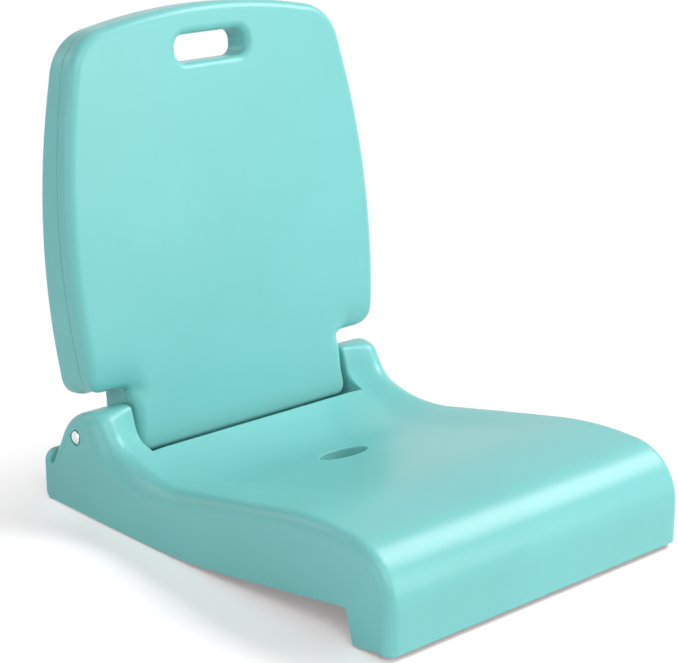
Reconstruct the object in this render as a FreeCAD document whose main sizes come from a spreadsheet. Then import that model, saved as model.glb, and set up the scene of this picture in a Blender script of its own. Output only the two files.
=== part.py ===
import FreeCAD, Part
import math
import os
import Sketcher

# Folding floor seat: a dished, ribbed seat moulding with two hinge lugs at its
# back, and a two-shell backrest whose neck turns on a rod between the lugs.
# Frame: X to the right, front towards -Y, Z up, floor at Z = 0, origin under
# the middle of the footprint. Seat pieces are drawn from the front face of the
# lip (y = 0 there); backrest pieces are drawn in the plane of their seam.

os.makedirs("parts", exist_ok=True)
doc = FreeCAD.newDocument("FoldingSeat")
V = FreeCAD.Vector

# --------------------------------------------------------------- sizes
sheet = doc.addObject("Spreadsheet::Sheet", "Sizes")
# a name with a formula keeps its place from the rear face, the middle or the shoulder
SIZES = [
    # seat moulding, side view
    ("seat_width", 360), ("seat_depth", 481.5), ("seat_wall", 3.5), ("base_gap", 1.0),
    ("roll_height", 92.0), ("roll_radius", 52.5), ("crest_back", 101.6),
    ("crest_height", 97.1), ("crest_radius", 330), ("dish_back", "=seat_depth - 160.8"),
    ("dish_height", 57.1), ("dish_radius", 150), ("ramp_back", "=seat_depth - 106"),
    ("ramp_height", 76.9), ("ramp_radius", 45), ("lug_front", "=seat_depth - 85.6"),
    ("lug_height", 103), ("lug_front_radius", 16), ("lug_rear", "=seat_depth - 41.2"),
    ("lug_rear_radius", 50), ("gutter_front", "=seat_depth - 13.5"), ("gutter_height", 38.9),
    ("rear_foot_radius", 12), ("belly_back", "=seat_depth - 218.9"), ("belly_radius", 890),
    ("step_back", 53.5), ("step_height", 32.1), ("heel_back", 45), ("lip_rise", 4.9),
    ("edge_radius", 13),
    # seat pan, sunk between the two side bolsters
    ("pan_flat_half", "=seat_width / 2 - 75"), ("pan_top_half", "=seat_width / 2 - 12"),
    ("pan_front", 104),
    ("pan_back", "=seat_depth - 181.5"), ("pan_height", 53.2), ("pan_radius", 140),
    ("pan_ramp_back", "=seat_depth - 96.5"), ("pan_ramp_height", 66.5), ("pan_ramp_radius", 24),
    ("pan_top_back", "=seat_depth - 72.5"),
    # rear wall, hinge recess, drain
    ("rear_wall", 8), ("rear_wall_height", 50), ("rear_wall_corner", 11),
    ("recess_front", "=seat_depth - 106"), ("recess_floor", 30),
    ("drain_back", "=seat_depth - 227.5"),
    ("drain_length", 53), ("drain_width", 34), ("drain_wall", 3),
    ("weep_width", 8), ("weep_length", 36), ("weep_front", "=seat_depth - 86.5"),
    ("weep_pitch", 70),
    # ribs under the seat
    ("rib", 2.5), ("rib_setback", 8), ("rib_pitch", 45), ("rib_first", 100),
    ("rib_step", 45),
    # hinge
    ("pivot_back", "=seat_depth - 52"), ("pivot_height", 75.5), ("rod_radius", 5),
    ("rod_fit", 0.02), ("run_fit", 0.05), ("boss_radius", 13),
    ("cap_radius", 6.3), ("cap_height", 4.5), ("cap_skirt", 3),
    ("cap_pocket_radius", 8.3), ("cap_pocket_depth", 3.5),
    ("side_gap", 3.5), ("washer_thick", 1.2), ("washer_radius", 11),
    ("bush_radius", 8), ("bush_length", 16), ("bush_flange", 1),
    ("bush_flange_radius", 9.5), ("seat_fit", 0.02), ("rod_room", 1.5),
    # backrest
    ("back_lean", 7.2), ("back_foot", "=seat_depth - 79.5"), ("front_half", 18), ("wall", 3.5),
    ("side_apex_half", "=seat_width / 2 + 14.5"), ("side_apex", 267.6), ("side_radius", 720),
    ("shoulder_half", "=154.7 * seat_width / 360"), ("shoulder", 446.3),
    ("shoulder_radius", "=47 * seat_width / 360"),
    ("top_apex", "=shoulder + 28.3 * seat_width / 360"), ("top_radius", "=seat_width / 0.6"),
    ("wing_half", "=seat_width / 2 - 5.3"),
    ("wing_height", 120.2), ("wing_corner", 17), ("front_edge", 10), ("rear_edge", 11),
    ("rear_low", 38.5), ("rear_top", 21), ("neck_half", "=seat_width / 2 - 51"),
    ("neck_low", 56.2),
    ("neck_corner", 12), ("neck_root", 8), ("neck_rear", 33), ("neck_merge", 96),
    ("heel_rear", 42), ("heel_rise", 20), ("deep", 60),
    # hand slot with a finger pocket behind it
    ("slot_height", "=shoulder - 22.3"), ("slot_half", 42), ("slot_rise", 13),
    ("slot_corner", 11),
    ("slot_rim", 8), ("slot_wall", 3.5), ("grip_margin", 14), ("grip_depth", 12),
    # screws and their posts
    ("post_radius", 5.5), ("screw_radius", 2), ("head_radius", 3.6), ("head_height", 2.4),
    ("screw_reach", 12), ("screw_web", 4), ("head_room", 0.4), ("shell_rib", 2.5),
    ("screw_high_x", "=seat_width / 2 - 52"), ("screw_high", "=shoulder - 51.3"),
    ("screw_mid_x", "=seat_width / 2 - 22"), ("screw_mid", 275),
    ("screw_low_x", "=seat_width / 2 - 30"), ("screw_low", 152), ("screw_neck_x", 60),
    ("screw_neck", 112),
    ("shell_rib_low", 190), ("shell_rib_step", 75), ("shell_rib_x", 75),
    # rubber feet and stop buffers
    ("foot_radius", 12), ("foot_thick", 3), ("foot_stem", 4), ("foot_stem_length", 8),
    ("foot_boss", 15), ("foot_x", "=seat_width / 2 - 40"), ("foot_mid", "=seat_depth - 133.5"),
    ("foot_rear", "=seat_depth - 27.5"),
    ("lip_pad_length", 50), ("lip_pad_front", 29), ("lip_pad_width", 12),
    ("lip_pad_thick", 4), ("stop_x", 76), ("stop_width", 36), ("stop_thick", 5),
    ("stop_front", 30), ("stop_length", 11), ("stop_clear", 0.3), ("ledge_wall", 3),
]
for row, (alias, value) in enumerate(SIZES, start=1):
    sheet.set("A%d" % row, alias)
    sheet.set("B%d" % row, str(value))
    sheet.setAlias("B%d" % row, alias)
doc.recompute()


def size(alias):
    return float(sheet.get(alias))


HALF = size("seat_width") / 2
MID = size("seat_depth") / 2
WALL = size("seat_wall")
LEAN = math.radians(size("back_lean"))
NECK = size("neck_half")
RECESS = size("neck_half") + size("side_gap")
LIP_Z = size("base_gap") + size("lip_rise")
# pivot seen in the plane of the backrest seam: depth behind it, height along it
BACK = size("pivot_back") - size("back_foot")
PIVOT_Y = BACK * math.cos(LEAN) - size("pivot_height") * math.sin(LEAN)
PIVOT_Z = BACK * math.sin(LEAN) + size("pivot_height") * math.cos(LEAN)


# ------------------------------------------------------------- helpers
def rounded(corners):
    """Lines and tangent arcs through (u, v, radius) corners, in order."""
    points = []
    for i, (u, v, radius) in enumerate(corners):
        p = V(u, v, 0)
        if radius <= 0:
            points.append((p, None, p))
            continue
        to_last = (V(*corners[i - 1][:2], 0) - p).normalize()
        to_next = (V(*corners[(i + 1) % len(corners)][:2], 0) - p).normalize()
        half = to_last.getAngle(to_next) / 2
        reach = radius / math.tan(half)
        centre = p + (to_last + to_next).normalize() * (radius / math.sin(half))
        middle = centre + (p - centre).normalize() * radius
        points.append((p + to_last * reach, middle, p + to_next * reach))
    edges = []
    for i, (start, middle, end) in enumerate(points):
        if middle:
            edges.append(Part.Arc(start, middle, end))
        after = points[(i + 1) % len(points)][0]
        if (after - end).Length > 1e-4:
            edges.append(Part.LineSegment(end, after))
    return edges


def inset(corners, gap):
    """The same outline moved inwards by gap (corners run clockwise)."""
    count = len(corners)
    lines = []
    for i in range(count):
        a = V(*corners[i][:2], 0)
        b = V(*corners[(i + 1) % count][:2], 0)
        d = (b - a).normalize()
        lines.append((a + V(d.y, -d.x, 0) * gap, d))
    moved = []
    for i in range(count):
        (a, d), (b, e) = lines[i - 1], lines[i]
        turn = d.x * e.y - d.y * e.x
        w = b - a
        p = a + d * ((w.x * e.y - w.y * e.x) / turn)
        radius = corners[i][2]
        if radius > 0:
            radius = max(radius + (gap if turn > 0 else -gap), 0.5)
        moved.append((p.x, p.y, radius))
    return moved


def body(name, frame=None):
    owner = doc.addObject("PartDesign::Body", name)
    if frame:
        owner.Placement = frame
    return owner


def sketch(owner, role, name, edges, offset=0.0):
    """Closed sketch on one of the body's origin planes."""
    plane = [f for f in owner.Origin.OriginFeatures if f.Role == role][0]
    sk = owner.newObject("Sketcher::SketchObject", name)
    sk.AttachmentSupport = [(plane, "")]
    sk.MapMode = "FlatFace"
    sk.AttachmentOffset = FreeCAD.Placement(V(0, 0, offset), FreeCAD.Rotation())
    sk.addGeometry(edges, False)
    return sk


def pad(owner, sk, length, both=False, back=False):
    feature = owner.newObject("PartDesign::Pad", sk.Name + "_pad")
    feature.Profile = sk
    feature.setExpression("Length", length)
    feature.Midplane = both
    feature.Reversed = back
    owner.Tip = feature
    doc.recompute()
    return owner


def pocket(owner, sk, length, both=False):
    feature = owner.newObject("PartDesign::Pocket", sk.Name + "_pocket")
    feature.Profile = sk
    feature.setExpression("Length", length)
    feature.Midplane = both
    owner.Tip = feature
    doc.recompute()
    return owner


def fillet(owner, name, radius, wanted):
    """Round the edges of the tip that the test picks."""
    base = owner.Tip
    names = ["Edge%d" % (i + 1) for i, e in enumerate(base.Shape.Edges) if wanted(e)]
    feature = owner.newObject("PartDesign::Fillet", name)
    feature.Base = (base, names)
    feature.setExpression("Radius", radius)
    owner.Tip = feature
    doc.recompute()
    return owner


def revolve(name, edges, at, turn):
    """Solid turned about the drawn V axis, then placed."""
    owner = body(name, FreeCAD.Placement(at, turn))
    sk = sketch(owner, "XZ_Plane", name + "_view", edges)
    feature = owner.newObject("PartDesign::Revolution", name + "_turned")
    feature.Profile = sk
    feature.ReferenceAxis = (sk, ["V_Axis"])
    feature.Angle = 360
    owner.Tip = feature
    doc.recompute()
    return owner


def rod(name, radius, length, at, axis=V(1, 0, 0)):
    feature = doc.addObject("Part::Cylinder", name)
    feature.setExpression("Radius", radius)
    feature.setExpression("Height", length)
    feature.Placement = FreeCAD.Placement(at, FreeCAD.Rotation(V(0, 0, 1), axis))
    return feature


def block(name, length, width, height, at, frame=None):
    """Box of three bound sizes; at is its low corner."""
    feature = doc.addObject("Part::Box", name)
    for side, bound in zip(("Length", "Width", "Height"), (length, width, height)):
        feature.setExpression(side, bound)
    place = FreeCAD.Placement(at, FreeCAD.Rotation())
    feature.Placement = frame.multiply(place) if frame else place
    return feature


def cut(name, base, tool):
    feature = doc.addObject("Part::Cut", name)
    feature.Base, feature.Tool = base, tool
    doc.recompute()
    return feature


def fuse(name, shapes):
    feature = doc.addObject("Part::MultiFuse", name)
    feature.Shapes = shapes
    doc.recompute()
    return feature


def common(name, shapes):
    feature = doc.addObject("Part::MultiCommon", name)
    feature.Shapes = shapes
    doc.recompute()
    return feature


def group(name, shapes):
    feature = doc.addObject("Part::Compound", name)
    feature.Links = shapes
    doc.recompute()
    return feature


def loft(name, sections):
    """Smooth solid through (x, corners) outlines that stand across the width."""
    owner = body(name)
    rings = []
    for i, (x, corners) in enumerate(sections):
        rings.append(sketch(owner, "YZ_Plane", "%s_%d" % (name, i), rounded(corners), x))
    feature = owner.newObject("PartDesign::AdditiveLoft", name + "_loft")
    feature.Profile = rings[0]
    feature.Sections = rings[1:]
    owner.Tip = feature
    doc.recompute()
    return owner


# ------------------------------------------------------- seat moulding
SIDE = [
    (0, LIP_Z, 0),
    (0, size("roll_height"), size("roll_radius")),
    (size("crest_back"), size("crest_height"), size("crest_radius")),
    (size("dish_back"), size("dish_height"), size("dish_radius")),
    (size("ramp_back"), size("ramp_height"), size("ramp_radius")),
    (size("lug_front"), size("lug_height"), size("lug_front_radius")),
    (size("lug_rear"), size("lug_height"), size("lug_rear_radius")),
    (size("gutter_front"), size("gutter_height"), 0),
    (size("seat_depth"), size("gutter_height"), 0),
    (size("seat_depth"), size("base_gap"), size("rear_foot_radius")),
    (size("belly_back"), size("base_gap"), size("belly_radius")),
    (size("step_back"), size("step_height"), 2),
    (size("heel_back"), size("base_gap"), 0),
]


def bolster_edge(edge):
    """Side edges of the top, from the lip up over the deck and down the lug."""
    b = edge.BoundBox
    c = edge.CenterOfMass
    on_side = b.XLength < 1e-3 and abs(abs(c.x) - HALF) < 1e-3
    return on_side and ((c.y < 1 and c.z > LIP_Z + 1) or c.z > size("gutter_height") + 5)


def pan_sections(drop):
    """Outlines of the sunk pan, lowered by drop: flat middle, steep bolsters."""
    top = size("lug_height") + 60
    front = size("pan_front")
    slope = size("dish_height") - size("crest_height")
    slope /= size("dish_back") - size("crest_back")
    crest = size("crest_height") + slope * (front - size("crest_back"))
    rear = size("pan_top_back") + drop
    rim = size("lug_height") + 6
    middle = [
        (front, top, 0), (front, crest + 0.15 - drop, 0),
        (size("pan_back"), size("pan_height") - drop, size("pan_radius")),
        (size("pan_ramp_back") + drop, size("pan_ramp_height") - drop,
         size("pan_ramp_radius")),
        (rear, rim - drop, 0), (rear, top, 0),
    ]
    side = [
        (front, top, 0), (front, crest + 1.9 - drop, 0),
        (size("dish_back"), size("dish_height") + 1.7 - drop, size("pan_radius")),
        (size("ramp_back") + drop, size("ramp_height") + 1.9 - drop,
         size("ramp_radius") - 5),
        (size("lug_front") + 1 + drop, rim - drop, 0), (rear, top, 0),
    ]
    flat, rise = size("pan_flat_half"), size("pan_top_half")
    return [(-rise, side), (-flat, middle), (0, middle), (flat, middle), (rise, side)]


seat_outer = body("seat_outer")
pad(seat_outer, sketch(seat_outer, "YZ_Plane", "side_view", rounded(SIDE)),
    "Sizes.seat_width", both=True)
fillet(seat_outer, "bolster_rounding", "Sizes.edge_radius", bolster_edge)
fillet(seat_outer, "rear_corner_rounding", "Sizes.rear_wall",
       lambda e: abs(e.CenterOfMass.y - size("seat_depth")) < 1e-3
       and abs(abs(e.CenterOfMass.x) - HALF) < 1e-3)
rear_wall = body("rear_wall_panel")
corner = size("rear_wall_corner")
low = size("gutter_height") - 8
WALL_VIEW = [(-HALF, low, 0), (-HALF, size("rear_wall_height"), corner),
             (HALF, size("rear_wall_height"), corner), (HALF, low, 0)]
pad(rear_wall, sketch(rear_wall, "XZ_Plane", "wall_view", rounded(WALL_VIEW),
                      -size("seat_depth")), "Sizes.rear_wall")
fillet(rear_wall, "wall_corner_rounding", "Sizes.rear_wall - 0.5",
       lambda e: abs(e.CenterOfMass.y - size("seat_depth")) < 1e-3
       and abs(abs(e.CenterOfMass.x) - HALF) < 1e-3 and e.BoundBox.ZLength > 2)

# stop ledges stand in the recess, square to the resting backrest
TILT = FreeCAD.Rotation(V(1, 0, 0), -size("back_lean"))
BACK_FRAME = FreeCAD.Placement(V(0, size("back_foot"), 0), TILT)
LEDGE_TOP = size("neck_low") - size("stop_clear") - size("stop_thick")
recess_void = block("recess_void", "2 * (Sizes.neck_half + Sizes.side_gap)",
                    "Sizes.seat_depth - Sizes.rear_wall - Sizes.recess_front", "120",
                    V(-RECESS, size("recess_front"), size("recess_floor")))
ledges = [block("ledge_%d" % i, "Sizes.stop_width", "60", "60",
                V(x - size("stop_width") / 2, size("stop_front") - size("ledge_wall"),
                  LEDGE_TOP - 60), BACK_FRAME)
          for i, x in enumerate((-size("stop_x"), size("stop_x")))]
recess = cut("recess", recess_void, fuse("ledges", ledges))
pan = loft("pan", pan_sections(0))
seat_solid = cut("seat_solid", fuse("seat_and_wall", [cut("dished_block", seat_outer, pan),
                                                      rear_wall]), recess)

# hollow below the deck; whatever is listed in KEEP stays solid
inner = inset(SIDE, WALL)
skirt = inner[1:8] + [(size("seat_depth") - WALL, inner[8][1], 0),
                      (size("seat_depth") - WALL, -20, 0), (WALL, -20, 0)]
hollow_block = body("hollow_block")
pad(hollow_block, sketch(hollow_block, "YZ_Plane", "hollow_view", rounded(skirt)),
    "Sizes.seat_width - 2 * Sizes.seat_wall", both=True)
fillet(hollow_block, "hollow_rounding", "Sizes.edge_radius - Sizes.seat_wall",
       lambda e: e.BoundBox.XLength < 1e-3
       and (e.CenterOfMass.y < WALL + 1 or e.CenterOfMass.z > size("gutter_height") + 5))
rib_zone = body("rib_zone")
raised = [(u, v + size("rib_setback"), radius) for u, v, radius in SIDE]
pad(rib_zone, sketch(rib_zone, "YZ_Plane", "rib_zone_view", rounded(raised)),
    "Sizes.seat_width - Sizes.seat_wall", both=True)
slabs = []
for i in range(-3, 4):
    slabs.append(block("long_rib_%d" % (i + 3), "Sizes.rib", "Sizes.seat_depth", "200",
                       V(i * size("rib_pitch") - size("rib") / 2, 0, 0)))
for i in range(7):
    slabs.append(block("cross_rib_%d" % i, "Sizes.seat_width", "Sizes.rib", "200",
                       V(-HALF, size("rib_first") + i * size("rib_step"), 0)))
ribs = common("ribs", [fuse("rib_grid", slabs), rib_zone])
heel = body("heel_wall")
HEEL_VIEW = [(size("heel_back") - WALL, size("base_gap"), 0),
             (size("heel_back"), size("base_gap"), 0),
             (size("step_back"), size("step_height"), 0),
             (size("step_back"), 110, 0), (size("step_back") - WALL, 110, 0),
             (size("step_back") - WALL, size("step_height"), 0)]
pad(heel, sketch(heel, "YZ_Plane", "heel_view", rounded(HEEL_VIEW)), "Sizes.seat_width",
    both=True)
recess_shell = block("recess_shell",
                     "2 * (Sizes.neck_half + Sizes.side_gap + Sizes.seat_wall)",
                     "Sizes.seat_depth", "120",
                     V(-RECESS - WALL, size("recess_front") - WALL,
                       size("recess_floor") - WALL))
PIN = V(0, size("pivot_back"), size("pivot_height"))
hinge_boss = rod("hinge_boss", "Sizes.boss_radius", "Sizes.seat_width",
                 PIN - V(HALF, 0, 0))


def oval(name, grow, z):
    """Tall block of the drain's oval, grown by a wall, standing at height z."""
    owner = body(name, FreeCAD.Placement(V(0, size("drain_back"), z), FreeCAD.Rotation()))
    outline = Part.Ellipse(V(0, 0, 0), size("drain_length") / 2 + grow,
                           size("drain_width") / 2 + grow)
    return pad(owner, sketch(owner, "XY_Plane", name + "_view", [outline]), "120")


drain = oval("drain", 0, 0)
sleeve = oval("drain_sleeve", size("drain_wall"), size("base_gap") + size("rib_setback") * 2)
FEET = [(x, y) for x in (-size("foot_x"), size("foot_x"))
        for y in (size("foot_mid"), size("foot_rear"))]
boss_list = [rod("foot_boss_%d" % i, "Sizes.foot_boss", "45", V(x, y, size("base_gap")),
                 V(0, 0, 1)) for i, (x, y) in enumerate(FEET)]
lip_bosses = [block("lip_boss_%d" % i, "Sizes.lip_pad_length + 2 * Sizes.seat_wall",
                    "Sizes.heel_back - Sizes.lip_pad_front + Sizes.seat_wall",
                    "Sizes.lip_pad_thick + 4",
                    V(x - size("lip_pad_length") / 2 - WALL, size("lip_pad_front") - WALL, 0))
              for i, x in enumerate((-size("foot_x"), size("foot_x")))]
pan_under = loft("pan_under", pan_sections(WALL))
keep = fuse("keep", [ribs, heel, recess_shell, hinge_boss, sleeve] + boss_list + lip_bosses)
deck_hollow = cut("deck_hollow", hollow_block, cut("pan_skin", pan_under, drain))
seat_hollow = cut("seat_hollow", deck_hollow, keep)

lug_bore = rod("lug_bore", "Sizes.bush_radius + Sizes.seat_fit",
               "2 * (Sizes.neck_half + Sizes.side_gap + Sizes.bush_length)",
               PIN - V(RECESS + size("bush_length"), 0, 0))
rod_bore = rod("rod_bore", "Sizes.rod_radius + Sizes.rod_fit", "Sizes.seat_width",
               PIN - V(HALF, 0, 0))
pockets = [rod("cap_pocket_%d" % i, "Sizes.cap_pocket_radius", "Sizes.cap_pocket_depth + 1",
               PIN + V(x, 0, 0))
           for i, x in enumerate((-HALF - 1, HALF - size("cap_pocket_depth")))]
foot_cuts = []
for i, (x, y) in enumerate(FEET):
    foot_cuts.append(rod("foot_seat_%d" % i, "Sizes.foot_radius + 0.2", "Sizes.foot_thick",
                         V(x, y, 0), V(0, 0, 1)))
    foot_cuts.append(rod("foot_hole_%d" % i, "Sizes.foot_stem + Sizes.seat_fit",
                         "Sizes.foot_thick + Sizes.foot_stem_length + 0.5",
                         V(x, y, 0), V(0, 0, 1)))
PADS = (-size("foot_x"), size("foot_x"))
for i, x in enumerate(PADS):
    foot_cuts.append(block("lip_pad_seat_%d" % i, "Sizes.lip_pad_length + 0.2",
                           "Sizes.lip_pad_width + 0.2", "Sizes.lip_pad_thick",
                           V(x - size("lip_pad_length") / 2 - 0.1,
                             size("lip_pad_front") - 0.1, 0)))
weeps = [block("weep_%d" % i, "Sizes.weep_width", "Sizes.weep_length", "20",
               V((i - 1.5) * size("weep_pitch") - size("weep_width") / 2, size("weep_front"),
                 size("recess_floor") - 15))
         for i in range(4)]
seat_shell = cut("seat_shell", cut("ribbed_seat", seat_solid, seat_hollow),
                 fuse("seat_cuts", [lug_bore, rod_bore, drain] + pockets + foot_cuts + weeps))

# ------------------------------------------------------- hinge pieces
RIGHT = FreeCAD.Rotation(V(0, 0, 1), V(1, 0, 0))
LEFT = FreeCAD.Rotation(V(0, 0, 1), V(-1, 0, 0))
REST = FreeCAD.Rotation()


def lathe(points):
    """Closed straight-sided outline of (radius, height) points."""
    return rounded([(u, v, 0) for u, v in points])


pin = size("rod_radius")
reach = HALF - size("cap_pocket_depth") + size("cap_skirt")
nose = 0.8
hinge_rod = revolve("hinge_rod", lathe([(0, -reach), (pin - nose, -reach),
                                        (pin, nose - reach), (pin, reach - nose),
                                        (pin - nose, reach), (0, reach)]), PIN, RIGHT)
cap = size("cap_radius")
dome = size("cap_height") - size("cap_skirt") + 0.5
ball = (cap ** 2 + dome ** 2) / (2 * dome)
brow = size("cap_height") - ball + math.sqrt(ball ** 2 - cap ** 2 / 4)
bore = pin + size("rod_fit")
CAP_VIEW = [(bore, 0), (cap, 0), (cap, size("cap_height") - dome), (0, size("cap_height")),
            (0, size("cap_skirt") + 0.1), (bore, size("cap_skirt") + 0.1)]
cap_points = [V(u, v, 0) for u, v in CAP_VIEW]
cap_edges = [Part.LineSegment(cap_points[i], cap_points[(i + 1) % 6])
             for i in range(6) if i != 2]
cap_edges.append(Part.Arc(cap_points[2], V(cap / 2, brow, 0), cap_points[3]))
seat_x = HALF - size("cap_pocket_depth")
rod_cap_right = revolve("rod_cap_right", cap_edges, PIN + V(seat_x, 0, 0), RIGHT)
rod_cap_left = revolve("rod_cap_left", cap_edges, PIN - V(seat_x, 0, 0), LEFT)


def bush_view(inner):
    flange, tube = size("bush_flange"), size("bush_radius")
    return lathe([(inner, 0), (size("bush_flange_radius"), 0),
                  (size("bush_flange_radius"), flange), (tube, flange),
                  (tube, size("bush_length")), (inner, size("bush_length"))])


lug_x = RECESS - size("bush_flange")
lug_bushing_right = revolve("lug_bushing_right", bush_view(bore), PIN + V(lug_x, 0, 0), RIGHT)
lug_bushing_left = revolve("lug_bushing_left", bush_view(bore), PIN - V(lug_x, 0, 0), LEFT)
neck_x = NECK + size("bush_flange")
run = pin + size("run_fit")
neck_bushing_right = revolve("neck_bushing_right", bush_view(run), PIN + V(neck_x, 0, 0), LEFT)
neck_bushing_left = revolve("neck_bushing_left", bush_view(run), PIN - V(neck_x, 0, 0), RIGHT)
washer = size("washer_thick")
WASHER_VIEW = lathe([(run, 0), (size("washer_radius"), 0), (size("washer_radius"), washer),
                     (run, washer)])
washer_x = (neck_x + lug_x - washer) / 2
thrust_washer_right = revolve("thrust_washer_right", WASHER_VIEW, PIN + V(washer_x, 0, 0),
                              RIGHT)
thrust_washer_left = revolve("thrust_washer_left", WASHER_VIEW, PIN - V(washer_x, 0, 0), LEFT)

# ------------------------------------------------- feet and stop buffers
FOOT_VIEW = rounded([(0, 0, 0), (size("foot_radius"), 0, 1),
                     (size("foot_radius"), size("foot_thick"), 0),
                     (size("foot_stem"), size("foot_thick"), 0),
                     (size("foot_stem"), size("foot_thick") + size("foot_stem_length"), 0.8),
                     (0, size("foot_thick") + size("foot_stem_length"), 0)][::-1])
base_feet = group("base_feet", [revolve("base_foot_%d" % i, FOOT_VIEW, V(x, y, 0), REST)
                                for i, (x, y) in enumerate(FEET)])
lip_pads = group("lip_pads", [
    block("lip_pad_%d" % i, "Sizes.lip_pad_length", "Sizes.lip_pad_width",
          "Sizes.lip_pad_thick", V(x - size("lip_pad_length") / 2, size("lip_pad_front"), 0))
    for i, x in enumerate(PADS)])
stop_buffers = group("stop_buffers", [
    block("stop_buffer_%d" % i, "Sizes.stop_width - 2", "Sizes.stop_length",
          "Sizes.stop_thick", V(x - size("stop_width") / 2 + 1, size("stop_front"),
                                LEDGE_TOP), BACK_FRAME)
    for i, x in enumerate((-size("stop_x"), size("stop_x")))])

# ----------------------------------------------------------- backrest
half_view = [(size("wing_half"), size("wing_height"), size("wing_corner")),
             (size("side_apex_half"), size("side_apex"), size("side_radius")),
             (size("shoulder_half"), size("shoulder"), size("shoulder_radius"))]
neck_view = [(NECK, size("neck_low"), size("neck_corner")),
             (NECK, size("wing_height"), size("neck_root"))]
SHIELD = [(-x, z, r) for x, z, r in neck_view + half_view]
SHIELD += [(0, size("top_apex"), size("top_radius"))]
SHIELD += (neck_view + half_view)[::-1]


def slot_outline(grow):
    half, rise = size("slot_half") + grow, size("slot_rise") + grow
    mid, turn = size("slot_height"), size("slot_corner") + grow
    return rounded([(-half, mid - rise, turn), (-half, mid + rise, turn),
                    (half, mid + rise, turn), (half, mid - rise, turn)])


def shield(name, gap, role_name):
    owner = body(name, BACK_FRAME)
    return owner, sketch(owner, "XZ_Plane", name + role_name, rounded(inset(SHIELD, gap)))


def slot_edge(edge):
    c = edge.CenterOfMass
    return abs(c.x) < size("slot_half") + 1 and abs(c.z - size("slot_height")) < 15


front_outer, front_view = shield("front_outer", 0, "_view")
front_view.addGeometry(slot_outline(0), False)
pad(front_outer, front_view, "Sizes.front_half")
fillet(front_outer, "front_rounding", "Sizes.front_edge",
       lambda e: e.CenterOfMass.y < 0.01 - size("front_half") and not slot_edge(e))
fillet(front_outer, "slot_rounding", "Sizes.slot_rim",
       lambda e: e.CenterOfMass.y < 0.01 - size("front_half") and slot_edge(e))


def rear_profile(gap):
    """Region behind the rear skin, moved inwards by gap."""
    top, low, neck = size("rear_top"), size("rear_low"), size("neck_rear")
    high = size("top_apex") + 20
    return rounded([(top - gap, high, 0), (size("deep") * 2, high, 0),
                    (size("deep") * 2, 30, 0), (neck - gap, 30, 0),
                    (neck - gap, size("neck_merge"), 20),
                    (low - gap, size("wing_height"), 40)])


def rear_edge(edge):
    """Edges between the rear skin and the side walls, not the bend lines."""
    c, b = edge.CenterOfMass, edge.BoundBox
    bend = b.XLength > 100 and size("neck_low") + 5 < c.z < size("shoulder") - 10
    return min(v.Point.y for v in edge.Vertexes) > 18 and not bend


def rear_block(name, gap, edge_radius):
    owner, view = shield(name, gap, "_view")
    pad(owner, view, "Sizes.deep", back=True)
    pocket(owner, sketch(owner, "YZ_Plane", name + "_side", rear_profile(gap)),
           "3 * Sizes.seat_width", both=True)
    return fillet(owner, name + "_rounding", edge_radius, rear_edge)


def local(x, y, z):
    return BACK_FRAME.multVec(V(x, y, z))


ACROSS = BACK_FRAME.Rotation.multVec(V(0, 1, 0))
rear_outer = rear_block("rear_outer", 0, "Sizes.rear_edge")
rear_inner = rear_block("rear_inner", size("wall"), "Sizes.rear_edge - Sizes.wall")
front_inner, inner_view = shield("front_inner", size("wall"), "_view")
pad(front_inner, inner_view, "Sizes.front_half - Sizes.wall")
fillet(front_inner, "front_inner_rounding", "Sizes.front_edge - Sizes.wall",
       lambda e: e.CenterOfMass.y < size("wall") - size("front_half") + 0.01)


def slot_column(name, grow, start):
    """Block of the slot's outline, from start back through the rear skin."""
    owner = body(name, BACK_FRAME)
    sk = sketch(owner, "XZ_Plane", name + "_view", slot_outline(grow), -start)
    return pad(owner, sk, "2 * Sizes.deep", back=True)


slot_hole = slot_column("slot_hole", 0, -size("deep"))
slot_frame = slot_column("slot_frame", size("slot_wall"), -size("deep"))
grip = slot_column("grip", size("grip_margin"), size("grip_depth"))
grip_frame = slot_column("grip_frame", size("grip_margin") + size("wall"),
                         size("grip_depth") - size("wall"))
webs = [block("shell_rib_%d" % i, "2 * Sizes.seat_width", "2 * Sizes.deep", "Sizes.shell_rib",
              V(-2 * HALF, -size("deep"), size("shell_rib_low") + i * size("shell_rib_step")),
              BACK_FRAME) for i in range(3)]
webs += [block("shell_post_%d" % i, "Sizes.shell_rib", "2 * Sizes.deep", "2 * Sizes.seat_width",
               V(i * size("shell_rib_x") - size("shell_rib") / 2, -size("deep"), 0), BACK_FRAME)
         for i in (-1, 0, 1)]
PIVOT = V(0, PIVOT_Y, PIVOT_Z)
neck_tube = rod("neck_tube", "Sizes.boss_radius", "2 * Sizes.neck_half", PIN - V(NECK, 0, 0))
SCREWS = [(side * size("screw_%s_x" % row), size("screw_%s" % row))
          for row in ("high", "mid", "low", "neck") for side in (-1, 1)]


def posts(name, radius, length, start):
    """One cylinder per screw, from start towards the rear."""
    return [rod("%s_%d" % (name, i), radius, length, local(x, start, z), ACROSS)
            for i, (x, z) in enumerate(SCREWS)]


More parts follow.
